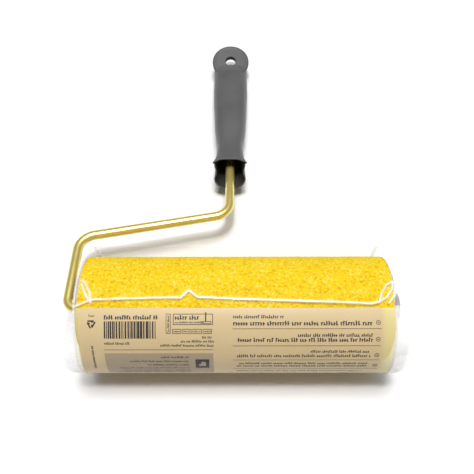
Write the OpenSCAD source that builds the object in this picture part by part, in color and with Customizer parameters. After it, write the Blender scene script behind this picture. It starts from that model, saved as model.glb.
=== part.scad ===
// Paint roller: a bent wire frame with a moulded handle, carrying a foam cover
// that is still in its printed film sleeve.
// X runs along the axle, Y from the cover towards the handle, and Z is up.
// The origin is on the floor, under the middle of the cover.

/* [Cover] */
// Length of the foam cover
cover_len = 180; // [120:5:250]
// Outer diameter of the foam
foam_d = 63; // [58:1:80]
// Outer diameter of the core tube
core_d = 48; // [40:1:50]
// Wall of the core tube
core_wall = 2; // [1.2:0.2:3]

/* [End caps] */
// Thickness of the flange that closes the core tube
flange_t = 1.5; // [1:0.5:3]
// How far the flange reaches over the foam's end
flange_lip = 3; // [1:0.5:5]
// Length of the plug inside the core tube
plug_len = 14; // [8:1:25]
// Wall of the plug's rim and of the hub
cap_wall = 2; // [1.2:0.2:3]
// Number of ribs between hub and rim
ribs = 6; // [3:1:8]
// Wall of the bearing bush
bush_wall = 1.8; // [1:0.2:3]

/* [Wire frame] */
// Diameter of the frame wire
wire_d = 6.4; // [5:0.1:7.6]
// Straight wire between the stop collar and the bend into the side arm
bare_len = 1.6; // [0.2:0.1:6]
// Distance from the foam's surface to the arm's upper corner
arm_clear = 21.2; // [16:0.1:40]
// Rise of the slanted bar from the arm's corner to the stem's corner
bar_rise = 19.2; // [10:0.1:40]
// Length of bare stem below the handle
stem_show = 36.4; // [20:0.1:60]
// Sideways shift of the handle from the cover's middle
stem_shift = -4.3; // [-15:0.1:5]
// Bend radius at the axle
axle_bend = 6.3; // [6:0.1:10]
// Bend radius at the arm's corner and at the stem's corner
corner_bend = 12; // [8:0.5:14]

/* [Handle] */
// Width of the open mouth
mouth_w = 24.4; // [20:0.2:30]
// Height of the open mouth
mouth_h = 26; // [22:0.5:34]
// How far the lower lip stands in front of the upper lip
mouth_slant = 7.3; // [0:0.1:10]
// Width of the neck
neck_w = 19.3; // [18:0.1:24]
// Distance from the mouth to the neck
neck_at = 25.2; // [18:0.1:35]
// Width of the shoulder between neck and grip
shoulder_w = 23.6; // [20:0.2:28]
// Distance from the mouth to the shoulder
shoulder_at = 46.2; // [40:0.1:60]
// Width of the grip
grip_w = 26.9; // [22:0.1:32]
// Height of the grip
grip_h = 25; // [20:0.5:32]
// Distance from the mouth to the middle of the grip
grip_at = 81.2; // [75:0.1:90]
// Distance from the mouth to the hanging hole
eye_at = 117; // [112:1:150]
// Diameter of the round end plate
eye_plate_d = 30; // [24:0.2:34]
// Thickness of the round end plate
eye_plate_t = 5; // [3:0.5:7]
// Diameter of the hanging hole
eye_d = 8.5; // [6:0.5:12]
// Upward tilt of the end plate
eye_tilt = 16; // [0:1:25]
// Wall of the handle's hollow front
handle_wall = 2; // [1.5:0.1:2.4]
// Depth of the hollow front
hollow_depth = 26; // [20:1:30]
// Length of the stem inside the handle's socket
stem_grip = 42; // [30:1:46]

/* [Film sleeve] */
// Thickness of the clear film
film_t = 0.3; // [0.3:0.1:0.6]
// Thickness of the printed band
label_t = 0.2; // [0.2:0.05:0.4]
// Slack of the sleeve in front of the foam
slack_front = 7.5; // [3:0.5:9]
// Slack of the sleeve behind the foam
slack_back = 7; // [3:0.5:9]
// Overhang of the sleeve past the foam at the arm's end
tail_arm = 10; // [5:0.5:11]
// Overhang of the sleeve past the foam at the free end
tail_free = 9.5; // [5:0.5:22]
// Angle of the printed band's front edge above the floor direction
band_front = 72; // [50:1:85]
// Angle of the printed band's rear edge
band_back = 152; // [120:1:165]

/* [Hidden] */
$fn = 96;

// Clearances
run_gap = 0.06;       // radial gap of a running fit
seat_gap = 0.02;      // radial gap of a fixed fit
soft_gap = 0.3;       // gap between the turning foam and what wraps it
film_gap = 0.1;       // gap between the printed band and the film
side_gap = 0.3;       // gap beside the turning hubs
sag = 0.3;            // how far the sleeve is flattened where it rests

// Cover
half_len = cover_len / 2;
foam_r = foam_d / 2;
core_r = core_d / 2;
bore_r = core_r - core_wall;
wire_r = wire_d / 2;
bush_r = wire_r + run_gap + bush_wall;
bush_lip_r = bush_r + 1.2;
bush_lip_t = 1;
hub_r = bush_r + seat_gap + cap_wall;
rim_r = bore_r - seat_gap;
flange_r = core_r + flange_lip;
cap_face = half_len + flange_t;           // outer face of each end cap
bush_face = cap_face + bush_lip_t;        // outer face of each bush

// Parts on the axle, beside the bushes
washer_t = 1;
washer_r = wire_r + 4.2;
arm_washer_at = bush_face + side_gap;     // inner face of the arm's thrust washer
stop_at = arm_washer_at + washer_t + seat_gap;
collar_at = stop_at + washer_t + seat_gap;   // inner face of the wire's upset collar
collar_w = 1.4;
collar_r = wire_r + 1.3;
nut_at = arm_washer_at + washer_t + seat_gap;
nut_t = 0.6;
nut_r = wire_r + 3;
nut_teeth = 6;
cap_at = nut_at + nut_t + seat_gap;
axle_cap_len = 4.4;
axle_cap_wall = 1.6;
axle_cap_r = washer_r + 2.2;
axle_end = cap_at + axle_cap_len - axle_cap_wall - 0.2;
stub_r = 1.1;                             // radius of the cap's rounded edge

// Sleeve: its film's outer face lies at floor_r under the axle
band_in = foam_r + soft_gap;
film_in = band_in + label_t + film_gap;
floor_r = film_in + film_t;
axle_h = floor_r;

wire_sides = 32;
bend_steps = 8;

// Wire path in the frame's own plane: [along X, away from the axle]
arm_x = -(collar_at + collar_w + bare_len + axle_bend);
arm_rise = foam_r + arm_clear;
stem_rise = arm_rise + bar_rise;
mouth_at = stem_rise + stem_show;
bar_dx = stem_shift - arm_x;
bar_len = sqrt(bar_dx * bar_dx + bar_rise * bar_rise);
bar_angle = atan2(bar_rise, bar_dx);      // slope of the slanted bar
turn = 90 - bar_angle;                    // both corners turn by this much
cut = corner_bend * tan(turn / 2);        // what a corner's bend takes from each leg
stem_end = mouth_at + hollow_depth + stem_grip;
socket_r = 6.4;
socket_lip_r = 7.2;
socket_lip_t = 2;
socket_reach = 6;                         // how far the socket stands into the hollow
socket_end_wall = 2;
paddle_len = 12;                          // the stem's flattened end
paddle_w = wire_d + 2.4;
paddle_t = wire_d * 0.6;
paddle_lap = 0.5;                         // how far the round wire runs into the flattened end

// Handle: the belly of the grip rests on the floor, which sets the lean
grip_from_axle = mouth_at + grip_at;
lean = asin((axle_h - grip_h / 2) / grip_from_axle);
neck_h = 20;
shoulder_h = 23;
seam_at = eye_at - 11;     // where the hanger cap meets the grip
eye_z = 6.5;               // height of the end plate's middle over the stem's line
tongue = [15, 13, 4.6];    // the hanger cap's tongue in the grip: width, length, height
tongue_z = 2.2;            // height of the tongue's middle

// Sections: [distance from the mouth, half width, height of the middle, half height, squareness]
HANDLE = [
    [0, mouth_w / 2, -0.5, mouth_h / 2, 2.9],
    [neck_at * 0.4, mouth_w * 0.225 + neck_w * 0.275, -0.3, mouth_h / 2 - 1.7, 2.6],
    [neck_at, neck_w / 2, 0, neck_h / 2, 2.2],
    [shoulder_at, shoulder_w / 2, 0, shoulder_h / 2, 2.3],
    [grip_at, grip_w / 2, 0, grip_h / 2, 2.4],
    [eye_at - 19, grip_w / 2 - 0.05, 1.5, grip_h / 2 - 3.5, 2.4],
    [seam_at, grip_w / 2 - 0.15, 2.6, eye_plate_t + 0.4, 2.4],
    [eye_at - 5, eye_plate_d / 2 - 1.9, eye_z - 5 * sin(eye_tilt), eye_plate_t / 2 - 0.2, 2.4]
];
lip_bump = 1.1;       // how far the upper lip's two corners stand out
ring_n = 40;          // points around the handle

// ---- helpers ----

// Non-uniform cubic through the stations of table T, column c
function slope(T, i, c) =
    i == 0 ? (T[1][c] - T[0][c]) / (T[1][0] - T[0][0]) :
    i == len(T) - 1 ? (T[i][c] - T[i - 1][c]) / (T[i][0] - T[i - 1][0]) :
    (T[i + 1][c] - T[i - 1][c]) / (T[i + 1][0] - T[i - 1][0]);
function station(T, s) = max([for (i = [0 : len(T) - 2]) s >= T[i][0] ? i : 0]);
function hermite(p, q, a, b, h, t) =
    p * (2 * t * t * t - 3 * t * t + 1) + a * h * (t * t * t - 2 * t * t + t) +
    q * (3 * t * t - 2 * t * t * t) + b * h * (t * t * t - t * t);
function along(T, s, c) =
    let (i = station(T, s), h = T[i + 1][0] - T[i][0])
    hermite(T[i][c], T[i + 1][c], slope(T, i, c), slope(T, i + 1, c), h, (s - T[i][0]) / h);

function signed_power(v, p) = sign(v) * pow(abs(v), p);

// Outline of the sleeve around the axle; angle 0 is in front, 90 is on top
function sleeve_point(a, r) =
    let (
        y = -cos(a) * (r + (cos(a) > 0 ? slack_front : slack_back)),
        z = sin(a) * (r + sag)
    )
    [y, max(z, -r)];

// Closed surface through rings of equal point counts
module skin(rings) {
    n = len(rings[0]);
    m = len(rings);
    points = [for (ring = rings) for (p = ring) p];
    sides = [
        for (i = [0 : m - 2]) for (j = [0 : n - 1])
            let (a = i * n + j, b = i * n + (j + 1) % n)
            each [[a, b + n, b], [a, a + n, b + n]]
    ];
    first = [for (j = [0 : n - 1]) j];
    last = [for (j = [n - 1 : -1 : 0]) (m - 1) * n + j];
    polyhedron(points, concat([first], sides, [last]), convexity = 10);
}

// Things on the axle are drawn along +Z and laid along +X
module on_axle(x = 0) {
    translate([x, 0, axle_h]) rotate([0, 90, 0]) children();
}

// The frame's own plane leans down from the axle to the floor
module in_frame() {
    translate([0, 0, axle_h]) rotate([-lean, 0, 0]) children();
}

module ring(r_out, r_in, h) {
    difference() {
        cylinder(r = r_out, h = h);
        translate([0, 0, -1]) cylinder(r = r_in, h = h + 2);
    }
}

// ---- cover ----

module foam_sleeve() {
    color("gold") on_axle(-half_len) ring(foam_r, core_r + seat_gap, cover_len);
}

module core_tube() {
    color("whitesmoke") on_axle(-half_len) ring(core_r, bore_r, cover_len);
}

// End cap with its flange's outer face at z = 0 and its plug towards +Z
module end_cap() {
    difference() {
        union() {
            cylinder(r = flange_r, h = flange_t);
            ring(rim_r, rim_r - cap_wall, flange_t + plug_len);
            cylinder(r = hub_r, h = flange_t + plug_len);
            for (i = [0 : ribs - 1])
                rotate([0, 0, i * 360 / ribs])
                    translate([0, -cap_wall / 2, 0])
                        cube([rim_r - cap_wall / 2, cap_wall, flange_t + plug_len * 0.6]);
        }
        translate([0, 0, -1]) cylinder(r = bush_r + seat_gap, h = plug_len + flange_t + 2);
    }
}

module arm_end_cap() {
    color("dimgray") on_axle(-cap_face) end_cap();
}

module free_end_cap() {
    color("dimgray") on_axle(cap_face) mirror([0, 0, 1]) end_cap();
}

// Bush with its lip's outer face at z = 0
module bush() {
    difference() {
        union() {
            cylinder(r = bush_lip_r, h = bush_lip_t);
            cylinder(r = bush_r, h = bush_lip_t + flange_t + plug_len);
        }
        translate([0, 0, -1])
            cylinder(r = wire_r + run_gap, h = bush_lip_t + flange_t + plug_len + 2);
    }
}

module arm_bush() {
    color("ivory") on_axle(-bush_face) bush();
}

module free_bush() {
    color("ivory") on_axle(bush_face) mirror([0, 0, 1]) bush();
}

// ---- parts fixed on the axle ----

module arm_thrust_washer() {
    color("ivory") on_axle(-arm_washer_at - washer_t)
        ring(washer_r, wire_r + run_gap, washer_t);
}

module stop_washer() {
    color("silver") on_axle(-stop_at - washer_t)
        ring(washer_r + 0.6, wire_r + seat_gap, washer_t);
}

module free_thrust_washer() {
    color("ivory") on_axle(arm_washer_at) ring(washer_r, wire_r + run_gap, washer_t);
}

module push_nut() {
    color("silver") on_axle(nut_at) difference() {
        ring(nut_r, wire_r + seat_gap, nut_t);
        for (i = [0 : nut_teeth - 1])
            rotate([0, 0, i * 360 / nut_teeth])
                translate([wire_r - 0.5, -0.3, -1]) cube([1.9, 0.6, nut_t + 2]);
    }
}

module axle_cap() {
    straight = axle_cap_len - stub_r;
    color("slategray") on_axle(cap_at) difference() {
        union() {
            cylinder(r = axle_cap_r, h = straight);
            cylinder(r = axle_cap_r - stub_r, h = axle_cap_len);
            translate([0, 0, straight]) rotate_extrude()
                translate([axle_cap_r - stub_r, 0]) intersection() {
                    circle(r = stub_r);
                    square(stub_r);
                }
        }
        translate([0, 0, -1])
            cylinder(r = wire_r + seat_gap, h = 1 + axle_cap_len - axle_cap_wall);
    }
}

// ---- wire frame ----

// Stations round a bend, from angle a to angle b about centre c: [x, y, heading]
function bend(c, radius, a, b, side) = [
    for (i = [0 : bend_steps])
        let (t = a + (b - a) * i / bend_steps)
        [c[0] + radius * cos(t), c[1] + radius * sin(t), t + side * 90]
];

// Ring of the wire at a station, square to its heading
function wire_ring(p) = [
    for (j = [0 : wire_sides - 1])
        let (t = 360 * j / wire_sides, r = wire_r * cos(t))
        [p[0] - r * sin(p[2]), p[1] + r * cos(p[2]), wire_r * sin(t)]
];

module frame_wire() {
    stations = concat(
        [[-collar_at - collar_w * 0.3, 0, 180]],
        bend([arm_x + axle_bend, axle_bend], axle_bend, 270, 180, -1),
        bend([arm_x + corner_bend, arm_rise - cut], corner_bend, 180, 90 + bar_angle, -1),
        bend([stem_shift - corner_bend, stem_rise + cut], corner_bend, bar_angle - 90, 0, 1),
        [[stem_shift, stem_end - paddle_len + paddle_lap, 90]]
    );
    color("darkkhaki") in_frame() {
        skin([for (p = stations) wire_ring(p)]);
        translate([-collar_at - collar_w * 0.7, 0, 0]) rotate([0, 90, 0])
            cylinder(r = wire_r, h = axle_end + collar_at + collar_w * 0.7);
        translate([-collar_at - collar_w, 0, 0]) rotate([0, 90, 0])
            cylinder(r = collar_r, h = collar_w);
        translate([stem_shift - paddle_w / 2, stem_end - paddle_len, -paddle_t / 2])
            cube([paddle_w, paddle_len, paddle_t]);
    }
}

// ---- handle ----

// One ring of the handle: s from the mouth, inset by wall w
function handle_ring(s, w) =
    let (
        half = along(HANDLE, s, 1) - w,
        middle = along(HANDLE, s, 2),
        tall = along(HANDLE, s, 3) - w,
        p = 2 / along(HANDLE, s, 4),
        lip = lip_bump * pow(max(0, 1 - s / (neck_at * 0.55)), 2),
        tilt = max(0, 1 - s / neck_at) * mouth_slant / mouth_h
    )
    [
        for (j = [0 : ring_n - 1])
            let (
                a = 360 * j / ring_n,
                corner = lip * (exp(-pow((a - 50) / 13, 2)) + exp(-pow((a - 130) / 13, 2))),
                x = half * signed_power(cos(a), p) + corner * cos(a),
                z = tall * signed_power(sin(a), p) + corner * sin(a)
            )
            [x, s + tilt * z, middle + z]
    ];

// Rings of the handle's surface from station s0 to station s1
function handle_rings(s0, s1, steps, w = 0) =
    [for (i = [0 : steps]) handle_ring(s0 + (s1 - s0) * i / steps, w)];

// Everything in the handle is drawn from the middle of its mouth
module in_handle() {
    in_frame() translate([stem_shift, mouth_at, 0]) children();
}

module tongue_box(gap = 0) {
    translate([-tongue[0] / 2 - gap, seam_at - tongue[1] - gap, tongue_z - tongue[2] / 2 - gap])
        cube([tongue[0] + 2 * gap, tongue[1] + 2 + gap, tongue[2] + 2 * gap]);
}

module grip() {
    color("dimgray") in_handle() difference() {
        skin(concat(
            handle_rings(seam_at, 0, 34),
            handle_rings(0, hollow_depth, 12, handle_wall)
        ));
        translate([0, hollow_depth - 1, 0]) rotate([-90, 0, 0])
            cylinder(r = socket_r + seat_gap, h = stem_grip + socket_end_wall + 1);
        tongue_box(seat_gap);
    }
}

// The end plate's own frame: z is square to the plate, and 0 is its middle
module in_eye() {
    translate([0, eye_at, eye_z]) rotate([eye_tilt, 0, 0]) children();
}

module eye_plate() {
    edge_r = eye_plate_t / 2;
    in_eye() rotate_extrude() {
        translate([0, -edge_r]) square([eye_plate_d / 2 - edge_r, eye_plate_t]);
        translate([eye_plate_d / 2 - edge_r, 0]) intersection() {
            circle(r = edge_r);
            translate([0, -edge_r]) square([edge_r, eye_plate_t]);
        }
    }
}

// Round end plate with the hanging hole, and the tongue that holds it in the grip
module hanger_cap() {
    color("dimgray") in_handle() difference() {
        union() {
            skin(handle_rings(eye_at - 5, seam_at + seat_gap, 4));
            difference() {
                eye_plate();
                translate([-grip_w, seam_at + seat_gap - 2 * grip_w, -grip_w]) cube(2 * grip_w);
            }
            tongue_box();
        }
        in_eye() cylinder(d = eye_d, h = 40, center = true);
    }
}

// Socket bush that grips the stem inside the handle
module stem_socket() {
    color("black") in_handle() translate([0, hollow_depth, 0]) rotate([-90, 0, 0])
        difference() {
            union() {
                translate([0, 0, -socket_reach])
                    cylinder(r = socket_lip_r, h = socket_lip_t);
                translate([0, 0, -socket_reach])
                    cylinder(r = socket_r, h = socket_reach + stem_grip + socket_end_wall);
            }
            translate([0, 0, -socket_reach - 1])
                cylinder(r = wire_r + seat_gap,
                         h = socket_reach + 1 + stem_grip - paddle_len + paddle_lap + seat_gap);
            translate([-paddle_w / 2 - seat_gap, -paddle_t / 2 - seat_gap,
                       stem_grip - paddle_len - seat_gap])
                cube([paddle_w + 2 * seat_gap, paddle_t + 2 * seat_gap,
                      paddle_len + 2 * seat_gap]);
        }
}

// ---- film sleeve ----

sleeve_n = 120;

// Wall between two outlines of the sleeve, from x0 to x1, between angles a0 and a1
module sleeve_wall(r_in, r_out, x0, x1, a0, a1) {
    steps = ceil(sleeve_n * (a1 - a0) / 360);
    outside = [for (i = [0 : steps]) sleeve_point(a0 + (a1 - a0) * i / steps, r_out)];
    inside = [for (i = [steps : -1 : 0]) sleeve_point(a0 + (a1 - a0) * i / steps, r_in)];
    translate([x0, 0, axle_h]) rotate([90, 0, 90]) linear_extrude(x1 - x0)
        polygon(concat(outside, inside));
}

module printed_band() {
    color("wheat")
        sleeve_wall(band_in, band_in + label_t, -half_len, half_len,
                    band_back, band_front + 360);
}

module film_sleeve() {
    mid = half_len + 1;
    outside = [for (i = [0 : sleeve_n - 1]) sleeve_point(360 * i / sleeve_n, floor_r)];
    inside = [for (i = [0 : sleeve_n - 1]) sleeve_point(360 * i / sleeve_n, film_in)];
    color("lightcyan", 0.4) union() {
        translate([-mid, 0, axle_h]) rotate([90, 0, 90]) linear_extrude(2 * mid)
            difference() {
                polygon(outside);
                polygon(inside);
            }
        sleeve_wall(film_in, floor_r, -half_len - tail_arm, -mid + 0.5, -92, 66);
        sleeve_wall(film_in, floor_r, mid - 0.5, half_len + tail_free, -120, 84);
    }
}

foam_sleeve();
core_tube();
arm_end_cap();
free_end_cap();
arm_bush();
free_bush();
frame_wire();
stop_washer();
arm_thrust_washer();
free_thrust_washer();
push_nut();
axle_cap();
grip();
hanger_cap();
stem_socket();
printed_band();
film_sleeve();
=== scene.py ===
import math
import random

import bmesh
import bpy
import numpy as np
from mathutils import Euler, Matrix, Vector, noise


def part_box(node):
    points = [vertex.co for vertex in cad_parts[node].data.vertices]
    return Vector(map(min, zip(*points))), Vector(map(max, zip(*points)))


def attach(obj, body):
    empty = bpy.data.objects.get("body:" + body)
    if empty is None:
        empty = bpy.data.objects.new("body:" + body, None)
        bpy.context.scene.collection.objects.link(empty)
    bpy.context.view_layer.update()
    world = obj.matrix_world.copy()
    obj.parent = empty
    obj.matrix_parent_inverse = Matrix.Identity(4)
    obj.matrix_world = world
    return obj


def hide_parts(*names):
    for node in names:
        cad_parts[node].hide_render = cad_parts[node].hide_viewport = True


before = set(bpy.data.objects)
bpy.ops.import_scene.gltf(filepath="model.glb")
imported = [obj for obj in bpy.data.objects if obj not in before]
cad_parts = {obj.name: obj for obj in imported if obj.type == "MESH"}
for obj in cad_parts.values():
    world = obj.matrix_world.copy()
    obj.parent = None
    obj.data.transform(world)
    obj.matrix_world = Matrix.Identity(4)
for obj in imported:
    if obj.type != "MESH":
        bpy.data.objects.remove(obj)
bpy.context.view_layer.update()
mm = 0.001

# places that everything else is measured from
foamLow, foamHigh = (Vector(corner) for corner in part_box("foam_sleeve"))
filmLow, filmHigh = (Vector(corner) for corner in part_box("film_sleeve"))
wireLow, wireHigh = (Vector(corner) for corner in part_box("frame_wire"))
gripLow, gripHigh = (Vector(corner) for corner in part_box("grip"))
coverHalf = foamHigh.x
foamRadius = (foamHigh.y - foamLow.y) / 2
axleHeight = (foamHigh.z + foamLow.z) / 2
stemX = (gripLow.x + gripHigh.x) / 2
print("frame loaded, cover half length", round(coverHalf, 4), "axle height", round(axleHeight, 4))


cameraSetup = {
    "lens": 42.5,           # mm on a 36 mm sensor
    "pitch": 61.4,          # degrees below level
    "beforeAxle": 0.1267,   # metres from the axle towards the viewer
    "aboveAxle": 0.3232,
    "side": 0.0008,
    "roll": -0.08,
}


def placeCamera(setup):
    lens = bpy.data.cameras.new("tableCamera")
    lens.lens = setup["lens"]
    lens.sensor_width = 36
    lens.clip_start = 0.01
    camera = bpy.data.objects.new("tableCamera", lens)
    camera.location = (setup["side"], -setup["beforeAxle"], axleHeight + setup["aboveAxle"])
    turn = Euler((math.radians(90 - setup["pitch"]), 0, 0)).to_matrix()
    camera.rotation_euler = (turn @ Euler((0, 0, math.radians(setup["roll"]))).to_matrix()).to_euler()
    bpy.context.collection.objects.link(camera)
    bpy.context.scene.camera = camera
    print("camera placed, lens", setup["lens"])


lighting = {
    "worldStrength": 0.10,
    "broadBox": {"place": (0.05, 0.28, 2.2), "size": 0.95, "power": 46.5},
    "smallBox": {"place": (0.0, 0.0, 2.2), "size": 0.14, "power": 10.0},
}


def addSoftbox(name, setup, aim=(0, 0.05, 0.02)):
    lamp = bpy.data.lights.new(name, "AREA")
    lamp.shape = "SQUARE"
    lamp.size = setup["size"]
    lamp.energy = setup["power"]
    box = bpy.data.objects.new(name, lamp)
    box.location = setup["place"]
    box.rotation_euler = (Vector(aim) - Vector(setup["place"])).to_track_quat("-Z", "Y").to_euler()
    bpy.context.collection.objects.link(box)


def lightTable(setup):
    world = bpy.data.worlds.new("studio")
    bpy.context.scene.world = world
    world.use_nodes = True
    backdrop = world.node_tree.nodes["Background"]
    backdrop.inputs["Color"].default_value = (1, 1, 1, 1)
    # the room is dim for the object and plain white behind the table's far edge
    path = addNode(world.node_tree, "ShaderNodeLightPath")
    strength = addNode(world.node_tree, "ShaderNodeMapRange", {
        "Value": path.outputs["Is Camera Ray"], "To Min": setup["worldStrength"], "To Max": 1.0})
    world.node_tree.links.new(strength.outputs["Result"], backdrop.inputs["Strength"])
    for name in ("broadBox", "smallBox"):
        addSoftbox(name, setup[name])
    bpy.context.scene.view_settings.view_transform = "Standard"
    print("softboxes hung over the table")


def addMesh(name, points, faces, material, smooth=True):
    mesh = bpy.data.meshes.new(name)
    mesh.from_pydata([tuple(point) for point in points], [], faces)
    mesh.validate()
    mesh.update()
    if smooth:
        mesh.polygons.foreach_set("use_smooth", [True] * len(mesh.polygons))
    piece = bpy.data.objects.new(name, mesh)
    bpy.context.collection.objects.link(piece)
    mesh.materials.append(material)
    return piece


def loftFaces(ringCount, ringSize, closedRing=True, capStart=False, capEnd=False, offset=0):
    faces = []
    across = ringSize if closedRing else ringSize - 1
    for i in range(ringCount - 1):
        for j in range(across):
            a = offset + i * ringSize + j
            b = offset + i * ringSize + (j + 1) % ringSize
            faces.append((a, b, b + ringSize, a + ringSize))
    if capStart:
        faces.append(tuple(offset + j for j in reversed(range(ringSize))))
    if capEnd:
        faces.append(tuple(offset + (ringCount - 1) * ringSize + j for j in range(ringSize)))
    return faces


def loft(name, rings, material, **ends):
    points = [point for ring in rings for point in ring]
    return addMesh(name, points, loftFaces(len(rings), len(rings[0]), **ends), material)


def newMaterial(name, **settings):
    material = bpy.data.materials.new(name)
    material.use_nodes = True
    tree = material.node_tree
    shader = tree.nodes["Principled BSDF"]
    for socket, value in settings.items():
        shader.inputs[socket.replace("_", " ")].default_value = value
    return material, tree, shader


def addNode(tree, kind, inputs=None, **settings):
    node = tree.nodes.new(kind)
    for key, value in settings.items():
        setattr(node, key, value)
    for socket, value in (inputs or {}).items():
        if isinstance(value, bpy.types.NodeSocket):
            tree.links.new(value, node.inputs[socket])
        else:
            node.inputs[socket].default_value = value
    return node


def addRamp(tree, source, stops):
    ramp = tree.nodes.new("ShaderNodeValToRGB")
    tree.links.new(source, ramp.inputs["Fac"])
    while len(ramp.color_ramp.elements) < len(stops):
        ramp.color_ramp.elements.new(0.5)
    for element, (place, colour) in zip(ramp.color_ramp.elements, stops):
        element.position = place
        element.color = (*colour, 1)
    return ramp.outputs["Color"]


def objectSpace(tree):
    return tree.nodes.new("ShaderNodeTexCoord").outputs["Object"]


def addBump(tree, shader, height, strength, distance):
    bump = addNode(tree, "ShaderNodeBump", {"Height": height, "Strength": strength, "Distance": distance})
    tree.links.new(bump.outputs["Normal"], shader.inputs["Normal"])


def grey(value):
    return (value, value, value)


def makeFoamMaterial():
    material, tree, shader = newMaterial(
        "yellowFoam", Roughness=0.9, Specular_IOR_Level=0.1, Subsurface_Weight=0.15, Subsurface_Scale=2 * mm)
    shader.inputs["Subsurface Radius"].default_value = (1.0, 0.6, 0.1)
    place = objectSpace(tree)
    cells = addNode(tree, "ShaderNodeTexNoise", {"Vector": place, "Scale": 640.0, "Detail": 2.0})
    patches = addNode(tree, "ShaderNodeTexNoise", {"Vector": place, "Scale": 110.0, "Detail": 2.0})
    blend = addNode(tree, "ShaderNodeMix", {"Factor": 0.22, "A": cells.outputs["Fac"],
                                            "B": patches.outputs["Fac"]}, data_type="FLOAT")
    colour = addRamp(tree, blend.outputs["Result"], (
        (0.33, (0.69, 0.36, 0.002)),
        (0.44, (0.81, 0.55, 0.007)),
        (0.57, (0.84, 0.62, 0.012)),
        (0.67, (0.85, 0.70, 0.170)),
    ))
    tree.links.new(colour, shader.inputs["Base Color"])
    grain = addNode(tree, "ShaderNodeTexVoronoi", {"Vector": place, "Scale": 900.0, "Randomness": 1.0})
    addBump(tree, shader, grain.outputs["Distance"], 0.6, 0.6 * mm)
    return material


def makeWireMaterial():
    material, tree, shader = newMaterial("yellowZinc", Metallic=0.7, Coat_Weight=0.25, Coat_Roughness=0.15)
    place = objectSpace(tree)
    tint = addNode(tree, "ShaderNodeTexNoise", {"Vector": place, "Scale": 38.0, "Detail": 3.0})
    colour = addRamp(tree, tint.outputs["Fac"], (
        (0.30, (0.91, 0.74, 0.22)),
        (0.55, (0.95, 0.78, 0.25)),
        (0.75, (0.95, 0.80, 0.29)),
    ))
    tree.links.new(colour, shader.inputs["Base Color"])
    wear = addNode(tree, "ShaderNodeTexNoise", {"Vector": place, "Scale": 150.0, "Detail": 2.0})
    rough = addRamp(tree, wear.outputs["Fac"], ((0.3, grey(0.30)), (0.7, grey(0.34))))
    tree.links.new(rough, shader.inputs["Roughness"])
    return material


def makePlasticMaterial(name, colour, roughness=0.42, sheen=0.0):
    material, tree, shader = newMaterial(
        name, Specular_IOR_Level=0.28, Sheen_Weight=sheen, Sheen_Roughness=0.4)
    place = objectSpace(tree)
    shade = addNode(tree, "ShaderNodeTexNoise", {"Vector": place, "Scale": 45.0, "Detail": 2.0})
    low = tuple(channel * 0.9 for channel in colour)
    high = tuple(channel * 1.1 for channel in colour)
    tree.links.new(addRamp(tree, shade.outputs["Fac"], ((0.3, low), (0.7, high))),
                   shader.inputs["Base Color"])
    grain = addNode(tree, "ShaderNodeTexNoise", {"Vector": place, "Scale": 1600.0, "Detail": 2.0})
    rough = addRamp(tree, shade.outputs["Fac"], (
        (0.2, grey(roughness * 0.85)),
        (0.8, grey(roughness * 1.15)),
    ))
    tree.links.new(rough, shader.inputs["Roughness"])
    addBump(tree, shader, grain.outputs["Fac"], 0.12, 0.1 * mm)
    return material


def makeSteelMaterial():
    material, tree, shader = newMaterial("pressedSteel", Metallic=1.0)
    place = objectSpace(tree)
    scratches = addNode(tree, "ShaderNodeTexNoise", {"Vector": place, "Scale": 900.0, "Detail": 2.0})
    tree.links.new(addRamp(tree, scratches.outputs["Fac"], ((0.3, grey(0.5)), (0.7, grey(0.68)))),
                   shader.inputs["Base Color"])
    tree.links.new(addRamp(tree, scratches.outputs["Fac"], ((0.3, grey(0.25)), (0.7, grey(0.4)))),
                   shader.inputs["Roughness"])
    return material


def makeBandMaterial():
    material, tree, shader = newMaterial("creamPrint", Roughness=0.38, Specular_IOR_Level=0.45)
    place = objectSpace(tree)
    parts = addNode(tree, "ShaderNodeSeparateXYZ", {"Vector": place})
    blotch = addNode(tree, "ShaderNodeTexNoise", {"Vector": place, "Scale": 26.0, "Detail": 2.0})
    cream = addRamp(tree, blotch.outputs["Fac"], ((0.3, (0.655, 0.50, 0.275)), (0.7, (0.695, 0.53, 0.295))))
    along = addNode(tree, "ShaderNodeMapRange", {"Value": parts.outputs["X"], "From Min": -coverHalf,
                                                 "From Max": coverHalf})
    # the ground colour stops short of both ends, where the film is tinted by the foam behind it
    first, last = band["printStart"], band["printEnd"]
    edges = (first, first + 0.006, last - 0.004, last + 0.012)
    margin = addRamp(tree, along.outputs["Result"], [
        (at, grey(share)) for at, share in zip(edges, (1.0, 0.0, 0.0, 1.0))])
    blend = addNode(tree, "ShaderNodeMix", {0: margin, 6: cream, 7: band["marginColour"]},
                    data_type="RGBA")
    tree.links.new(blend.outputs[2], shader.inputs["Base Color"])
    cover = addRamp(tree, along.outputs["Result"], [
        (at, grey(share)) for at, share in zip(edges, (0.4, 1.0, 1.0, 0.78))])
    # the lap at the back is thin and mostly clear
    lap = addNode(tree, "ShaderNodeMapRange", {"Value": parts.outputs["Y"], "From Min": band["lapStart"],
                                               "From Max": band["lapEnd"], "To Min": 1.0,
                                               "To Max": band["lapOpacity"]})
    alpha = addNode(tree, "ShaderNodeMath", {0: cover, 1: lap.outputs["Result"]}, operation="MULTIPLY")
    tree.links.new(alpha.outputs[0], shader.inputs["Alpha"])
    fibre = addNode(tree, "ShaderNodeTexNoise", {"Vector": place, "Scale": 500.0, "Detail": 3.0})
    addBump(tree, shader, fibre.outputs["Fac"], 0.08, 0.1 * mm)
    return material


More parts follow.
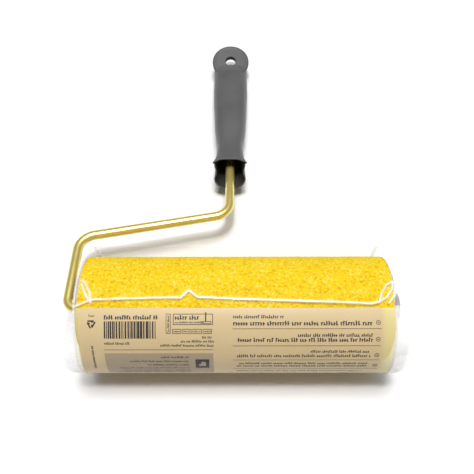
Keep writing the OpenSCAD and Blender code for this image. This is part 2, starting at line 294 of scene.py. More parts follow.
def makeInkMaterial(name, colour):
    material, tree, shader = newMaterial(name, Roughness=0.5)
    speckle = addNode(tree, "ShaderNodeTexNoise", {"Vector": objectSpace(tree), "Scale": 1500.0})
    faded = tuple(channel + 0.025 for channel in colour)
    tree.links.new(addRamp(tree, speckle.outputs["Fac"], ((0.35, colour), (0.75, faded))),
                   shader.inputs["Base Color"])
    return material


def makeFilmMaterial():
    material, tree, shader = newMaterial("clearFilm", Roughness=0.12, Specular_IOR_Level=0.6)
    shader.inputs["Base Color"].default_value = (0.98, 0.98, 0.97, 1)
    # opacity: a trace of haze, a little more at grazing angles, hazier in the crumpled tails, and white along
    # the creases and crumple ridges, partly folded film and partly a painted highlight
    foldAndGlint = addNode(tree, "ShaderNodeAttribute", attribute_name="foldAndGlint")
    graze = addNode(tree, "ShaderNodeLayerWeight", {"Blend": 0.3})
    edge = addNode(tree, "ShaderNodeMath", {0: graze.outputs["Facing"], 1: 3.0}, operation="POWER")
    clear = addNode(tree, "ShaderNodeMath", {0: edge.outputs[0], 1: 0.03}, operation="MULTIPLY")
    haze = addNode(tree, "ShaderNodeMath", {0: clear.outputs[0], 1: 0.008}, operation="ADD")
    milkAndGlint = addNode(tree, "ShaderNodeMath", {0: foldAndGlint.outputs["Fac"], 1: 0.92}, operation="MULTIPLY")
    alpha = addNode(tree, "ShaderNodeMath", {0: haze.outputs[0], 1: milkAndGlint.outputs[0]},
                    operation="ADD", use_clamp=True)
    tree.links.new(alpha.outputs[0], shader.inputs["Alpha"])
    crinkle = addNode(tree, "ShaderNodeTexNoise", {"Vector": objectSpace(tree), "Scale": 160.0, "Detail": 3.0,
                                                   "Distortion": 0.6})
    addBump(tree, shader, crinkle.outputs["Fac"], 0.14, 0.8 * mm)
    return material


def makeTableMaterial():
    material, tree, shader = newMaterial("paleTable", Roughness=0.55, Specular_IOR_Level=0.2)
    spread = addNode(tree, "ShaderNodeTexNoise", {"Vector": objectSpace(tree), "Scale": 3.0})
    tree.links.new(addRamp(tree, spread.outputs["Fac"], ((0.3, grey(0.92)), (0.7, grey(0.93)))),
                   shader.inputs["Base Color"])
    # far from the object the table turns plain white for the camera alone
    away = addNode(tree, "ShaderNodeVectorMath", {"Vector": objectSpace(tree)}, operation="LENGTH")
    glow = addNode(tree, "ShaderNodeMapRange", {"Value": away.outputs["Value"],
                                                "From Min": 0.45, "From Max": 1.6})
    path = addNode(tree, "ShaderNodeLightPath")
    seen = addNode(tree, "ShaderNodeMath", {0: glow.outputs["Result"], 1: path.outputs["Is Camera Ray"]},
                   operation="MULTIPLY")
    shader.inputs["Emission Color"].default_value = (1, 1, 1, 1)
    tree.links.new(seen.outputs[0], shader.inputs["Emission Strength"])
    return material


handle = {
    "mouthWidth": 24.4 * mm, "mouthHeight": 26 * mm, "mouthSlant": 7.3 * mm,
    "neckWidth": 19.3 * mm, "neckHeight": 20 * mm, "neckAt": 25.2 * mm,
    "shoulderWidth": 23.6 * mm, "shoulderHeight": 23 * mm, "shoulderAt": 46.2 * mm,
    "gripWidth": 26.9 * mm, "gripHeight": 25 * mm, "gripAt": 81.2 * mm,
    "eyeAt": 117 * mm, "eyeHeight": 6.5 * mm, "eyeTilt": 16,
    "plateRadius": 15 * mm, "plateThickness": 5 * mm, "eyeRadius": 4.25 * mm,
    "seamBeforeEye": 11 * mm, "wall": 2 * mm, "hollowDepth": 26 * mm,
    "lipReach": 14 * mm, "lipCorner": 2.6 * mm, "lipDrop": 1.2 * mm, "sidePinch": 1.9 * mm,
    "lipWall": 0.9 * mm, "wallGrows": 10 * mm, "rimStep": 0.35 * mm,
}

wire = {
    "radius": 3.2 * mm, "collarRadius": 4.5 * mm, "collarWidth": 1.4 * mm,
    "axleBend": 6.3 * mm, "cornerBend": 12 * mm,
    "armRise": 52.7 * mm, "barRise": 19.2 * mm, "stemShown": 36.4 * mm,
    "stemGrip": 68 * mm, "bareBeforeBend": 1.6 * mm,
}

armX = wireLow.x + wire["radius"]
axleEnd = wireHigh.x
stemRise = wire["armRise"] + wire["barRise"]
mouthAt = stemRise + wire["stemShown"]
lean = math.asin((axleHeight - handle["gripHeight"] / 2) / (mouthAt + handle["gripAt"]))


def fromPlane(x, s, z):
    # the wire frame's own plane: x along the axle, s away from it, z square to the plane
    return Vector((x, s * math.cos(lean) + z * math.sin(lean),
                   axleHeight - s * math.sin(lean) + z * math.cos(lean)))


def bendStations(centre, radius, start, end, side, steps=14):
    stations = []
    for i in range(steps + 1):
        angle = math.radians(start + (end - start) * i / steps)
        stations.append((centre[0] + radius * math.cos(angle), centre[1] + radius * math.sin(angle),
                         angle + side * math.pi / 2, wire["radius"]))
    return stations


def wireStations():
    barAngle = math.degrees(math.atan2(wire["barRise"], stemX - armX))
    corner = wire["cornerBend"]
    cut = corner * math.tan(math.radians(90 - barAngle) / 2)
    radius, collar = wire["radius"], wire["collarRadius"]
    bendX = armX + wire["axleBend"]
    collarEnd = bendX + wire["bareBeforeBend"]
    collarStart = collarEnd + wire["collarWidth"]
    straight = [(axleEnd, 0, math.pi, radius * 0.82), (axleEnd - 0.5 * mm, 0, math.pi, radius),
                (collarStart + 0.02 * mm, 0, math.pi, radius), (collarStart, 0, math.pi, collar - 0.2 * mm),
                (collarStart - 0.2 * mm, 0, math.pi, collar), (collarEnd + 0.2 * mm, 0, math.pi, collar),
                (collarEnd, 0, math.pi, collar - 0.2 * mm), (collarEnd - 0.02 * mm, 0, math.pi, radius)]
    return (
        straight
        + bendStations((bendX, wire["axleBend"]), wire["axleBend"], 270, 180, -1)
        + bendStations((armX + corner, wire["armRise"] - cut), corner, 180, 90 + barAngle, -1)
        + bendStations((stemX - corner, stemRise + cut), corner, barAngle - 90, 0, 1)
        + [(stemX, mouthAt + wire["stemGrip"] - 12 * mm, math.pi / 2, radius)]
    )


def makeWire(material, sides=40):
    rings = []
    for x, s, heading, radius in wireStations():
        ring = []
        for j in range(sides):
            turn = 2 * math.pi * j / sides
            across = radius * math.cos(turn)
            ring.append(fromPlane(x - across * math.sin(heading), s + across * math.cos(heading),
                                  radius * math.sin(turn)))
        rings.append(ring)
    piece = loft("bentWire", rings, material, capStart=True, capEnd=True)
    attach(piece, "frame")
    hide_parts("frame_wire")
    print("wire bent,", len(rings), "stations")


foam = {
    "around": 380, "along": 330,
    "pitDepth": 0.9 * mm, "fineDepth": 0.35 * mm,
    "pitSize": 1.5 * mm, "edgeRound": 1.2 * mm,
}


def foamDepth(point):
    # how far the open foam's skin sinks below the round at a point
    cell = noise.voronoi(point / foam["pitSize"])[0]
    pit = max(0.0, 1 - cell[0] * 1.6)
    fine = 0.5 + 0.5 * noise.noise(point / (0.6 * mm))
    return foam["pitDepth"] * pit * 0.7 + foam["fineDepth"] * fine


def makeFoam(material):
    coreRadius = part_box("core_tube")[1][1] + 0.02 * mm
    profile = []
    edge = foam["edgeRound"]
    for i in range(7):      # end face, from the core out to the rounded edge
        profile.append((-coverHalf, coreRadius + (foamRadius - edge - coreRadius) * i / 6))
    for i in range(1, 4):
        turn = math.pi / 2 * i / 3
        profile.append((-coverHalf + edge * (1 - math.cos(turn)), foamRadius - edge + edge * math.sin(turn)))
    for i in range(1, foam["along"]):
        profile.append((-coverHalf + edge + (coverHalf - edge) * 2 * i / foam["along"], foamRadius))
    profile += [(-x, r) for x, r in reversed(profile[:10])]
    rings = []
    for x, radius in profile:
        ring = []
        for j in range(foam["around"]):
            turn = 2 * math.pi * j / foam["around"]
            out = Vector((0, -math.cos(turn), math.sin(turn)))
            at = Vector((x, 0, 0)) + out * radius
            inner = radius < foamRadius - edge - 0.1 * mm
            sink = 0 if inner else foamDepth(at)
            ring.append(at - out * sink + Vector((0, 0, axleHeight)))
        rings.append(ring)
    piece = loft("foamSleeve", rings, material)
    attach(piece, "cover")
    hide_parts("foam_sleeve")
    print("foam cover made,", len(piece.data.vertices), "points")


sleeve = {      # the shape that the film and the band share
    "slackFront": 7.5 * mm, "slackBack": 7 * mm, "sag": 0.3 * mm,
}

band = {
    "front": 72, "back": 152 - 360,
    "flatWidth": 172.5 * mm, "flatLength": 180 * mm,
    "printStart": 0.012, "printEnd": 0.955,     # shares of the cover's length
    "marginColour": (0.87, 0.76, 0.36, 1),
    "lapStart": 20 * mm, "lapEnd": 33 * mm, "lapOpacity": 0.14,
}
bandRadius = foamRadius + 0.4 * mm
filmRadius = foamRadius + 0.8 * mm


def sleevePoint(x, angle, radius):
    turn = math.radians(angle)
    slack = sleeve["slackFront"] if math.cos(turn) > 0 else sleeve["slackBack"]
    y = -math.cos(turn) * (radius + slack)
    z = math.sin(turn) * (radius + sleeve["sag"])
    return Vector((x, y, axleHeight + max(z, -radius)))


def bandTable():
    # lengths along the band from its front edge, and the angle at each
    lengths, angles = [0.0], [band["front"]]
    last = sleevePoint(0, band["front"], bandRadius)
    while angles[-1] > band["back"]:
        here = sleevePoint(0, angles[-1] - 0.5, bandRadius)
        lengths.append(lengths[-1] + (here - last).length)
        angles.append(angles[-1] - 0.5)
        last = here
    return lengths, angles


bandLengths, bandAngles = bandTable()


def bandPoint(u, v, lift):
    return sleevePoint(u, float(np.interp(v, bandLengths, bandAngles)), bandRadius + lift)


def makeBand(material):
    rings = []
    for i in range(121):
        x = -coverHalf + 2 * coverHalf * i / 120
        rings.append([bandPoint(x, bandLengths[-1] * j / 180, 0) for j in range(181)])
    piece = loft("printedBand", rings, material, closedRing=False)
    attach(piece, "frame")
    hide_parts("printed_band")
    print("band is", round(bandLengths[-1], 4), "round by", round(2 * coverHalf, 4))
    return piece


# the printing is rules, bars and word blocks, all plain marks
label = {       # places and sizes in millimetres along and down the band
    "step": 1.2 * mm, "inkLift": 0.08 * mm, "panelLift": 0.04 * mm,
    "leftEdge": -73.6, "leftEnd": -12.6, "rightEdge": -1.8,
    "barcode": (-73.2, -43.4, 7.3, 17.0),
    "numberRow": (-73.2, -43.4, 3.9, 6.3),
    "callBox": (-34.8, -12.6, 3.2, 9.3),
    "sideBox": (-38.8, -36.1, 3.2, 14.2),
    "pillRow": (-35.2, -12.6, 11.6, 14.3),
    "panel": (-73.6, -12.6, 26.2, 46.5),
    "stamp": (-22.8, -15.0, 30.6, 38.5),
    "sign": (-80.3, 8.6, 5.8),              # middle and width of the three-sided sign
    "barSeed": -73.2,                       # any number, it picks the widths of the bars
    # each row: middle, start, end, height of the letters, seed
    "barRow": (19.8, -73.2, -59.2, 1.5, 5),
    "leftRows": (
        (16.2, -18.6, -12.6, 1.5, 31), (18.6, -30.5, -12.6, 1.5, 32), (21.1, -42.0, -12.6, 1.5, 33)),
    "panelRows": (
        (28.9, -42.0, -26.5, 1.5, 41), (32.0, -60.0, -26.5, 1.5, 42), (35.2, -50.0, -26.5, 1.5, 43),
        (38.4, -66.0, -26.5, 1.5, 44), (41.6, -64.0, -26.5, 1.5, 45), (44.4, -68.0, -26.5, 1.5, 46)),
    "rightRows": (
        (4.8, -1.4, 26.0, 2.0, 60), (8.4, -1.4, 76.0, 2.6, 61), (15.1, 34.6, 76.0, 2.0, 62),
        (17.8, 1.2, 76.0, 2.4, 63), (25.0, 42.0, 75.5, 1.8, 64), (28.0, 0.8, 75.0, 2.0, 65),
        (33.9, 2.0, 74.0, 1.7, 66), (36.4, 0.6, 74.0, 1.8, 67), (43.0, 0.6, 73.0, 1.7, 68)),
    "rings": (8.1, 17.6, 27.6, 36.0), "ringAt": 79.2,
    "rules": (11.4, 21.3, 31.0, 39.6), "rulesEnd": 81.0, "leftRule": 23.7, "ruleWidth": 0.25,
    "backRow": (2.2, -13.4, 4.5, 1.6, 73),  # its first value counts from the band's back edge
}


def inkPatch(marks, corners, lift):
    # corners run round a four-sided mark, in millimetres along and down the band
    (a, b, c, d) = (Vector(corner) * mm for corner in corners)
    curved = abs(a.y - b.y) > 0.3 * mm
    longest = max((b - a).length, (c - d).length)
    steps = max(1, math.ceil(longest / label["step"])) if curved else 1
    first = len(marks["points"])
    for i in range(steps + 1):
        for start, end in ((a, b), (d, c)):
            at = start.lerp(end, i / steps)
            marks["points"].append(bandPoint(at.x, at.y, lift))
    for i in range(steps):
        k = first + 2 * i
        marks["faces"].append((k, k + 1, k + 3, k + 2))


def inkBlock(marks, left, right, top, bottom, lift=None):
    inkPatch(marks, ((left, top), (left, bottom), (right, bottom), (right, top)), lift or label["inkLift"])


def inkStroke(marks, start, end, thickness):
    start, end = Vector(start), Vector(end)
    side = (end - start).normalized().orthogonal() * thickness / 2
    inkPatch(marks, (start - side, end - side, end + side, start + side), label["inkLift"])


def inkOutline(marks, left, right, top, bottom, thickness=0.35):
    inkBlock(marks, left, right, top, top + thickness)
    inkBlock(marks, left, right, bottom - thickness, bottom)
    inkBlock(marks, left, left + thickness, top, bottom)
    inkBlock(marks, right - thickness, right, top, bottom)


def inkRing(marks, u, v, radius, thickness=0.3, sides=20):
    turns = [2 * math.pi * i / sides for i in range(sides + 1)]
    at = [Vector((u + radius * math.cos(turn), v + radius * math.sin(turn))) for turn in turns]
    for start, end in zip(at, at[1:]):
        inkStroke(marks, start, end, thickness)


def inkWords(marks, left, right, middle, height, seed, bold=0.26, upright=False):
    # a row of plain ticks in word-long groups, as lettering looks from a distance
    draw = random.Random(seed)
    weight = bold * height
    pen = left
    while pen < right:
        for _ in range(draw.randint(3, 9)):
            if pen > right:
                break
            tall = height * draw.choice((0.7, 0.7, 0.7, 0.95, 1.0))
            foot = middle + height / 2
            cross = foot - tall * draw.choice((0.2, 0.5, 0.85))
            strokes = ((pen, pen + weight, foot - tall, foot),
                       (pen, pen + 0.45 * height, cross - weight * 0.4, cross + weight * 0.4))
            for start, end, top, bottom in strokes:
                if upright:
                    inkBlock(marks, top, bottom, start, end)
                else:
                    inkBlock(marks, start, end, top, bottom)
            pen += 0.54 * height
        pen += 0.4 * height


def inkRow(marks, row):
    middle, start, end, height, seed = row
    inkWords(marks, start, end, middle, height, seed)


def drawBars(ink):
    draw = random.Random(label["barSeed"])
    left, right, top, bottom = label["barcode"]
    pen = left
    while pen < right - 0.4:
        width = draw.choice((0.4, 0.45, 0.8, 0.9, 1.3))
        inkBlock(ink, pen, pen + width, top, bottom)
        pen += width + draw.choice((0.3, 0.3, 0.45, 0.7))
    left, right, top, bottom = label["numberRow"]
    inkWords(ink, left, right, (top + bottom) / 2, bottom - top, 3, bold=0.3)
    inkRow(ink, label["barRow"])


def drawBoxes(ink):
    left, right, top, bottom = label["callBox"]
    inkOutline(ink, left, right, top, bottom)
    inkWords(ink, left + 1.0, right - 7.5, (top + bottom) / 2 - 1.1, 2.6, 7)
    inkWords(ink, left + 1.0, right - 5.5, bottom - 1.4, 1.0, 8)
    inkBlock(ink, right - 4.4, right - 3.7, top - 0.9, bottom - 1.9)
    inkOutline(ink, right - 6.6, right - 1.0, bottom - 2.0, bottom - 0.7, 0.3)
    left, right, top, bottom = label["sideBox"]
    inkOutline(ink, left, right, top, bottom, 0.3)
    inkWords(ink, top + 1.2, bottom - 1.0, (left + right) / 2, 1.1, 9, upright=True)
    left, right, top, bottom = label["pillRow"]
    for i in range(4):
        start = left + (right - left) * i / 4
        inkOutline(ink, start, start + 5.0, top, bottom, 0.3)
        inkWords(ink, start + 0.8, start + 4.1, (top + bottom) / 2, 1.0, 20 + i)


def drawPanel(ink, panelInk):
    left, right, top, bottom = label["panel"]
    inkBlock(panelInk, left, right, top, bottom, label["panelLift"])
    for row in label["panelRows"]:
        inkRow(ink, row)
    left, right, top, bottom = label["stamp"]
    inkOutline(ink, left, right, top, bottom, 2.0)
    inkBlock(ink, left, (left + right) / 2 - 0.6, top, (top + bottom) / 2)


def drawRightSide(ink):
    for row in label["rightRows"]:
        inkRow(ink, row)
    at = label["ringAt"]
    for v in label["rings"]:
        inkRing(ink, at, v, 1.15)
        inkStroke(ink, (at - 0.5, v), (at + 0.5, v), 0.5)
    for v in label["rules"]:
        inkBlock(ink, label["rightEdge"], label["rulesEnd"], v, v + label["ruleWidth"])


def drawSign(ink):
    u, v, width = label["sign"]
    corners = [Vector((u + width / 2 * math.cos(t), v + width / 2 * math.sin(t)))
               for t in (math.radians(degrees) for degrees in (90, 210, 330))]
    for i in range(3):
        here, there = corners[i], corners[(i + 1) % 3]
        inkStroke(ink, here.lerp(there, 0.1), here.lerp(there, 0.8), 0.85)
        side = (there - here).normalized().orthogonal() * 0.95
        inkStroke(ink, here.lerp(there, 0.55) + side, here.lerp(there, 0.8), 0.6)
    inkWords(ink, u - 1.4, u + 1.4, v - 4.4, 1.2, 71)
    inkWords(ink, 21.5, 38.0, u + 0.2, 1.3, 72, upright=True)


def drawLabel(ink, panelInk):
    drawBars(ink)
    drawBoxes(ink)
    for row in label["leftRows"]:
        inkRow(ink, row)
    rule = label["leftRule"]
    inkBlock(ink, label["leftEdge"], label["leftEnd"], rule, rule + label["ruleWidth"])
    drawPanel(ink, panelInk)
    drawRightSide(ink)
    drawSign(ink)
    fromBack, start, end, height, seed = label["backRow"]
    inkWords(ink, start, end, bandLengths[-1] / mm - fromBack, height, seed)


def makeLabel():
    ink, panelInk = ({"points": [], "faces": []} for _ in range(2))
    drawLabel(ink, panelInk)
    brown = makeInkMaterial("brownInk", (0.022, 0.013, 0.008))
    greyPrint = makeInkMaterial("greyInk", (0.40, 0.31, 0.20))
    pieces = [
        addMesh("labelInk", ink["points"], ink["faces"], brown),
        addMesh("labelPanel", panelInk["points"], panelInk["faces"], greyPrint),
    ]
    for piece in pieces:
        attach(piece, "frame")
    print("label printed with", len(ink["faces"]), "marks")
    return pieces


film = {
    "fullHalf": 91 * mm,                                # half the length that is closed all round
    "tailArm": (-92, 66), "tailFree": (-120, 84),       # the angles that each tail covers
    "flatLength": 199.5 * mm, "flatWidth": 226.5 * mm, "flatArea": 0.0430,
    "looseStart": 4 * mm, "looseLength": 12 * mm,       # the start is before the closed part's end
    "ripple": 0.9 * mm, "crumple": 0.6 * mm, "droop": 2.0 * mm, "skinRipple": 0.12 * mm,
    # the first value here sets the painted highlight on the tails' crumple ridges
    "ridgeGlint": 0.16, "veilStart": 3 * mm, "veil": 0.5, "doubleVeil": 1.15, "doubleFrom": -60,
    "creaseAngles": (60, 110), "perDegree": 0.56,       # millimetres round the film in a degree
    "creaseWidth": 0.46, "creaseRaise": 0.25 * mm,
    "leastBright": 0.4, "meanBright": 0.85, "brightSwing": 0.5,
    # where each crease runs, in millimetres along and degrees round
    "creases": {
        "main": ((-80, 79.0), (-45, 80.5), (-31, 80.5), (-26.3, 87.0), (-21.5, 81.0), (0, 79.6),
                 (30, 78.0), (60, 76.5), (76, 75.4), (81, 77.0)),
        "leafArm": ((-87, 96), (-84.5, 92), (-82, 84), (-81, 76), (-84, 82), (-87, 92)),
        "leafArmTail": ((-89, 74), (-84, 77), (-80, 79)),
        "leafFree": ((80, 77), (84.5, 80), (88, 88), (89, 94), (85, 91), (82, 84), (80.5, 78)),
        "leafFreeTail": ((86, 76), (89, 82), (90, 90)),
    },
}


def creaseStrength(u, angle):
    # how near a point on the film is to one of its creases, from 0 to 1
    perDegree = film["perDegree"]
    at = Vector((u, angle * perDegree))
    best = 9.0
    for path in film["creases"].values():
        for (u0, a0), (u1, a1) in zip(path, path[1:]):
            if abs(u - (u0 + u1) / 2) > abs(u1 - u0) / 2 + 3:
                continue
            start, end = Vector((u0, a0 * perDegree)), Vector((u1, a1 * perDegree))
            t = max(0.0, min(1.0, (at - start).dot(end - start) / (end - start).length_squared))
            best = min(best, (at - start.lerp(end, t)).length)
    # a crease, and the painted highlight along it, comes and goes along its length
    swing = noise.noise(Vector((u * 0.16, angle * 0.05, 4.0)))
    bright = min(1, max(film["leastBright"], film["meanBright"] + film["brightSwing"] * swing))
    return bright * math.exp(-(best / film["creaseWidth"]) ** 2)


def tailEdge(angle, low, high, reach):
    # how far a tail reaches past the closed part at an angle
    t = (angle - low) / (high - low)
    if t <= 0 or t >= 1:
        return 0
    ragged = 0.86 + 0.14 * math.sin(angle * 0.11) * math.sin(angle * 0.043 + 1)
    return reach * min(1, 6 * t, 6 * (1 - t)) * ragged


def filmStations(closedSteps=300, tailSteps=22):
    # each station is a part of the film and how far along that part it is
    return ([("arm", 1 - i / tailSteps) for i in range(tailSteps)]
            + [("closed", -1 + 2 * i / closedSteps) for i in range(closedSteps + 1)]
            + [("free", (i + 1) / tailSteps) for i in range(tailSteps)])


def filmPlace(part, t, angle):
    # the distance along the axle, and whether there is film at all
    full = film["fullHalf"]
    if part == "closed":
        return full * t, True
    if part == "arm":
        reach = tailEdge(angle, *film["tailArm"], -full - filmLow.x)
        return -full - reach * t, reach > 0
    reach = tailEdge(angle, *film["tailFree"], filmHigh.x - full)
    return full + reach * t, reach > 0


def filmPoint(x, angle, inside):
    # a point of the film and how white it is there: hazier in the tails, and white along creases and crumple
    # ridges, partly folded film and partly a painted highlight
    full = film["fullHalf"]
    turn = math.radians(angle)
    spot = Vector((x * 60, math.cos(turn) * 2.2, math.sin(turn) * 2.2))
    past = max(0.0, (abs(x) - full + film["looseStart"]) / film["looseLength"])
    ripple = noise.noise(Vector((spot.x * 0.35, spot.y * 3, spot.z * 3)))
    crumple = noise.noise(spot * 2.2 + Vector((3, 1, 7)))
    low, high = film["creaseAngles"]
    crease = creaseStrength(x / mm, angle) if low < angle < high else 0
    out = film["creaseRaise"] * crease + film["skinRipple"] * (ripple + 0.5)
    out += past * (film["ripple"] * ripple + film["crumple"] * crumple - film["droop"] * past)
    ridgeGlint = max(0.0, 1 - abs(crumple) * 7) * min(1.0, past * 2)
    veil = 0.0
    if abs(x) > full - film["veilStart"] and inside:
        # the free tail lies double below the band's front edge
        double = x > 0 and film["doubleFrom"] < angle < band["front"] + 2
        veil = film["doubleVeil"] - 0.5 * past if double else film["veil"]
        veil *= min(1.0, past * 4) * min(1.0, max(0.0, 1.06 - past) * 3)
    # creases and crumple ridges are made white here: partly folded film, partly a painted highlight
    milkAndGlint = min(1.0, crease + film["ridgeGlint"] * ridgeGlint + veil * (0.85 + 0.3 * ripple))
    return sleevePoint(x, angle, filmRadius + out), milkAndGlint


def makeFilm(material, angleSteps=480):
    points, milkAndGlints, keep = [], [], []
    for part, t in filmStations():
        kept = []
        for j in range(angleSteps):
            angle = -180 + 360 * j / angleSteps
            x, inside = filmPlace(part, t, angle)
            point, milkAndGlint = filmPoint(x, angle, inside)
            points.append(point)
            milkAndGlints.append(milkAndGlint)
            kept.append(inside)
        keep.append(kept)
    faces = []
    for i in range(len(keep) - 1):
        for j in range(angleSteps):
            n = (j + 1) % angleSteps
            if keep[i][j] and keep[i][n] and keep[i + 1][j] and keep[i + 1][n]:
                row, after = i * angleSteps, (i + 1) * angleSteps
                faces.append((row + j, row + n, after + n, after + j))
    piece = addMesh("filmSleeve", points, faces, material)
    # the attribute carries the tails' haze and the painted highlight along creases and crumple ridges
    attribute = piece.data.attributes.new("foldAndGlint", "FLOAT", "POINT")
    attribute.data.foreach_set("value", milkAndGlints)
    dropLoosePoints(piece)
    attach(piece, "frame")
    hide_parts("film_sleeve")
    print("film sleeve made,", len(faces), "faces")
    return piece


def dropLoosePoints(piece):
    sheet = bmesh.new()
    sheet.from_mesh(piece.data)
    bmesh.ops.delete(sheet, geom=[point for point in sheet.verts if not point.link_faces], context="VERTS")
    sheet.to_mesh(piece.data)
    sheet.free()


sections = [   # distance from the mouth, half width, height of the middle, half height, squareness
    (0, handle["mouthWidth"] / 2, -0.5 * mm, handle["mouthHeight"] / 2, 2.9),
    (handle["neckAt"] * 0.4, handle["mouthWidth"] * 0.225 + handle["neckWidth"] * 0.275, -0.3 * mm,
     handle["mouthHeight"] / 2 - 1.7 * mm, 2.6),
    (handle["neckAt"], handle["neckWidth"] / 2, 0, handle["neckHeight"] / 2, 2.2),
    (handle["shoulderAt"], handle["shoulderWidth"] / 2, 0, handle["shoulderHeight"] / 2, 2.3),
    (handle["gripAt"], handle["gripWidth"] / 2, 0, handle["gripHeight"] / 2, 2.4),
    (handle["eyeAt"] - 19 * mm, handle["gripWidth"] / 2 - 0.05 * mm, 1.5 * mm,
     handle["gripHeight"] / 2 - 3.5 * mm, 2.4),
    (handle["eyeAt"] - handle["seamBeforeEye"], handle["gripWidth"] / 2 - 0.15 * mm, 2.6 * mm,
     handle["plateThickness"] + 0.4 * mm, 2.4),
    (handle["eyeAt"] - 5 * mm, handle["plateRadius"] - 1.9 * mm,
     handle["eyeHeight"] - 5 * mm * math.sin(math.radians(handle["eyeTilt"])),
     handle["plateThickness"] / 2 - 0.2 * mm, 2.4),
]


def sectionSlope(i, column):
    before, after = sections[max(i - 1, 0)], sections[min(i + 1, len(sections) - 1)]
    return (after[column] - before[column]) / (after[0] - before[0])


def alongHandle(s, column):
    i = max(k for k in range(len(sections) - 1) if s >= sections[k][0] or k == 0)
    here, there = sections[i], sections[i + 1]
    length = there[0] - here[0]
    t = (s - here[0]) / length
    # a smooth curve through both sections, with the slope of each
    return (here[column] * (2 * t ** 3 - 3 * t ** 2 + 1)
            + sectionSlope(i, column) * length * (t ** 3 - 2 * t * t + t)
            + there[column] * (3 * t * t - 2 * t ** 3)
            + sectionSlope(i + 1, column) * length * (t ** 3 - t * t))


def signedPower(value, power):
    return math.copysign(abs(value) ** power, value)


def handleRing(s, inset, sides=96, push=0):
    # push moves the ring along the handle without changing its section
    half = alongHandle(s, 1) - inset
    middle = alongHandle(s, 2)
    tall = alongHandle(s, 3) - inset
    nearLip = max(0, 1 - s / handle["lipReach"]) ** 2
    tilt = max(0, 1 - s / handle["neckAt"]) * handle["mouthSlant"] / handle["mouthHeight"]
    ring = []
    for j in range(sides):
        angle = 2 * math.pi * j / sides
        degrees = math.degrees(angle)
        # the roof is flatter than the belly, most of all at the mouth
        roof = max(0, math.sin(angle))
        power = 2 / (alongHandle(s, 4) + (0.6 + 0.5 * nearLip) * roof - 0.5 * nearLip * (1 - roof))
        corner = sum(math.exp(-((degrees - peak) / 9) ** 2) for peak in (47, 133))
        side = sum(math.exp(-((degrees - peak) / 14) ** 2) for peak in (5, 175, 365))
        x = half * signedPower(math.cos(angle), power)
        flare = handle["lipCorner"] * corner - handle["sidePinch"] * side
        x += math.copysign(nearLip, math.cos(angle)) * flare
        z = tall * signedPower(math.sin(angle), power) - nearLip * handle["lipDrop"] * corner
        ring.append(fromPlane(stemX + x, mouthAt + s + push + tilt * z, middle + z))
    return ring


def makeGrip(material, mouthShadeMaterial):
    seam = handle["eyeAt"] - handle["seamBeforeEye"]
    lipWall = handle["lipWall"]
    rings = [handleRing(seam, 3 * mm), handleRing(seam, 0.4 * mm), handleRing(seam - 0.15 * mm, 0.08 * mm)]
    rings += [handleRing(seam * (1 - i / 90), 0) for i in range(1, 90)]
    rings += [handleRing(0.0, inset, push=push) for inset, push in (
        (0, 0.2 * mm), (0.15 * mm, 0), (lipWall / 2, -0.1 * mm),
        (lipWall - 0.15 * mm, 0), (lipWall, 0.25 * mm))]
    innerSteps = 20
    for i in range(1, innerSteps + 1):
        s = handle["hollowDepth"] * i / innerSteps
        wall = min(handle["wall"], lipWall + (handle["wall"] - lipWall) * s / handle["wallGrows"])
        rings.append(handleRing(s, wall))
    rings.append([point.lerp(fromPlane(stemX, mouthAt + handle["hollowDepth"], 0), 0.45)
                  for point in handleRing(handle["hollowDepth"], handle["wall"])])
    piece = loft("handleGrip", rings, material)
    # painted shade: inside the mouth the grip takes a dark material, from the lip's last ring to the ring
    # that ends the hollow
    piece.data.materials.append(mouthShadeMaterial)
    firstInside = (len(rings) - innerSteps - 2) * len(rings[0])
    for face in piece.data.polygons:
        if face.index >= firstInside:
            face.material_index = 1
    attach(piece, "frame")
    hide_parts("grip")
    print("grip lofted,", len(rings), "rings")


def arcPoints(radial, height, radius, start, end, steps):
    # points on a rounded edge of the plate: distance from the hole's middle, and height
    turns = [math.radians(start + (end - start) * i / steps) for i in range(steps + 1)]
    return [(radial + radius * math.cos(turn), height + radius * math.sin(turn)) for turn in turns]


def plateRings():
    # the round plate: a raised rim on its face, and rounded edges outside and in the hole
    radius, half, hole = handle["plateRadius"], handle["plateThickness"] / 2, handle["eyeRadius"]
    edge, inner, step = 1.6 * mm, 0.6 * mm, handle["rimStep"]
    profile = [(radius - edge - 1.3 * mm, half - step), (radius - edge - 0.9 * mm, half - step * 0.2),
               (radius - edge - 0.5 * mm, half)]
    profile += arcPoints(radius - edge, half - edge, edge, 90, 0, 6)
    profile += arcPoints(radius - edge, -half + edge, edge, 0, -90, 6)
    profile += arcPoints(hole + inner, -half + inner, inner, 270, 180, 5)
    profile += arcPoints(hole + inner, half - step - inner, inner, 180, 90, 5)
    tilt = math.radians(handle["eyeTilt"])
    rings = []
    for i in range(121):
        turn = 2 * math.pi * i / 120
        ring = []
        for r, h in profile:
            x, s = r * math.cos(turn), r * math.sin(turn)
            reach = handle["eyeAt"] + s * math.cos(tilt) - h * math.sin(tilt)
            lift = handle["eyeHeight"] + s * math.sin(tilt) + h * math.cos(tilt)
            ring.append(fromPlane(stemX + x, mouthAt + reach, lift))
        rings.append(ring)
    return rings


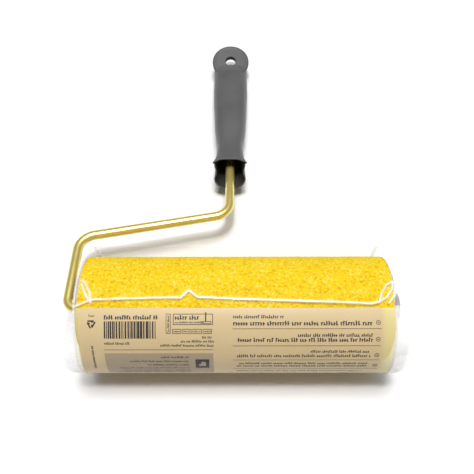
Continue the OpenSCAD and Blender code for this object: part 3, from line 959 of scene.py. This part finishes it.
def makeHangerCap(material):
    seam = handle["eyeAt"] - handle["seamBeforeEye"]
    last = handle["eyeAt"] - 5 * mm
    body = [handleRing(seam + 0.15 * mm, 0.4 * mm), handleRing(seam + 0.25 * mm, 0.08 * mm)]
    body += [handleRing(seam + 0.4 * mm + (last - seam - 0.4 * mm) * i / 8, 0) for i in range(9)]
    body.append(handleRing(last, 1.5 * mm))
    plate = plateRings()
    points = [point for ring in body + plate for point in ring]
    faces = loftFaces(len(body), len(body[0]), capStart=True, capEnd=True)
    faces += loftFaces(len(plate), len(plate[0]), offset=len(body) * len(body[0]))
    piece = addMesh("hangerCap", points, faces, material)
    weld = piece.modifiers.new("weld", "WELD")
    weld.merge_threshold = 0.01 * mm
    fuse = piece.modifiers.new("fuse", "REMESH")
    fuse.mode = "VOXEL"
    fuse.voxel_size = 0.32 * mm
    relax = piece.modifiers.new("relax", "SMOOTH")
    relax.factor = 0.5
    relax.iterations = 6
    applyModifiers(piece)
    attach(piece, "frame")
    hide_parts("hanger_cap")
    print("hanger cap fused,", len(piece.data.polygons), "faces")


def applyModifiers(piece):
    shaped = bpy.data.meshes.new_from_object(piece.evaluated_get(bpy.context.evaluated_depsgraph_get()))
    piece.modifiers.clear()
    old = piece.data
    piece.data = shaped
    bpy.data.meshes.remove(old)
    shaped.polygons.foreach_set("use_smooth", [True] * len(shaped.polygons))
    shaped.update()


def dress(node, material):
    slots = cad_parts[node].data.materials
    slots.clear()
    slots.append(material)


def dressHardware():
    darkPlastic = makePlasticMaterial("darkMoulding", (0.022, 0.022, 0.024))
    socketPlastic = makePlasticMaterial("blackMoulding", (0.012, 0.010, 0.010), roughness=0.5)
    acetal = makePlasticMaterial("naturalAcetal", (0.80, 0.77, 0.68), roughness=0.3)
    tube = makePlasticMaterial("tubePlastic", (0.78, 0.77, 0.73), roughness=0.5)
    steel = makeSteelMaterial()
    finishes = {
        "arm_end_cap": darkPlastic, "free_end_cap": darkPlastic, "axle_cap": darkPlastic,
        "stem_socket": socketPlastic, "core_tube": tube,
        "arm_bush": acetal, "free_bush": acetal,
        "arm_thrust_washer": acetal, "free_thrust_washer": acetal,
        "stop_washer": steel, "push_nut": steel,
    }
    for node, material in finishes.items():
        dress(node, material)
    print("hardware dressed,", len(finishes), "nodes")


def makeTable(material):
    size = 9.0
    points = [(-size, -size, 0), (size, -size, 0), (size, size, 0), (-size, size, 0)]
    table = addMesh("tableTop", points, [(0, 1, 2, 3)], material, smooth=False)


placeCamera(cameraSetup)
lightTable(lighting)
makeTable(makeTableMaterial())
makeWire(makeWireMaterial())
gripPlastic = makePlasticMaterial("greyMoulding", (0.106, 0.106, 0.107), roughness=0.5, sheen=0.12)
# the dark material inside the mouth is painted shade
makeGrip(gripPlastic, makePlasticMaterial("paintedMouthShade", (0.028, 0.027, 0.026), roughness=0.6))
makeHangerCap(gripPlastic)
dressHardware()
makeFoam(makeFoamMaterial())
printedBand = makeBand(makeBandMaterial())
labelPieces = makeLabel()
filmSleeve = makeFilm(makeFilmMaterial())
print("all pieces made")
